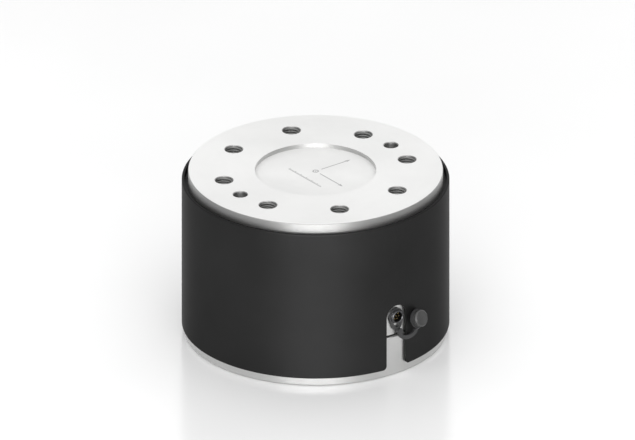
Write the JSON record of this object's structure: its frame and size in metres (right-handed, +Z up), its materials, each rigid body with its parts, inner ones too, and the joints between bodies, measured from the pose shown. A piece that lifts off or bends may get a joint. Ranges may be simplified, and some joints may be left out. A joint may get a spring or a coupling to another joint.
{
  "type": "force torque sensor",
  "caption": "Round six-axis force torque sensor: tool plate on a spoked flexure inside a housing with a black cover sleeve and side connector.",
  "frame": {"origin": "centre of the mounting face on the underside", "axes": "+Z up through the tool face, +X out through the connector, +Y towards a dowel hole of the tool face"},
  "size_m": [0.1568, 0.15, 0.099],
  "materials": {
    "machined_aluminium": "fine turned, satin",
    "black_anodised": "black anodised, satin",
    "spring_steel": "milled and wire cut",
    "ground_steel": "ground",
    "screw_steel": "black oxide",
    "gauge_foil": "polyimide foil",
    "lead_insulation": "extruded",
    "seal_rubber": "moulded",
    "board_laminate": "solder mask",
    "black_plastic": "moulded",
    "ivory_plastic": "moulded",
    "black_coated_brass": "black coated, turned",
    "contact_gold": "gold plated",
    "cap_plastic": "moulded, satin",
    "tether_plastic": "moulded, satin"
  },
  "bodies": {
    "root": {"tool_plate": "machined_aluminium", "cover_sleeve": "black_anodised", "body_housing": "machined_aluminium", "base_flange": "machined_aluminium", "sensing_element": "spring_steel", "strain_gauges": "gauge_foil", "terminal_pads": "gauge_foil", "gauge_leads": "lead_insulation", "element_screws": "screw_steel", "hub_screws": "screw_steel", "locating_dowels": "ground_steel", "base_screws": "screw_steel", "overload_pins": "ground_steel", "gap_seal": "seal_rubber", "sleeve_o_ring": "seal_rubber", "flange_o_ring": "seal_rubber", "signal_board": "board_laminate", "board_chips": "black_plastic", "lead_headers": "ivory_plastic", "board_spacers": "ground_steel", "board_screws": "screw_steel", "connector_shell": "black_coated_brass", "connector_o_ring": "seal_rubber", "connector_nut": "ground_steel", "connector_insert": "black_plastic", "contact_pins": "contact_gold", "connector_leads": "lead_insulation", "connector_cap": "cap_plastic", "cap_gasket": "seal_rubber", "cap_tether": "tether_plastic"}
  },
  "joints": []
}
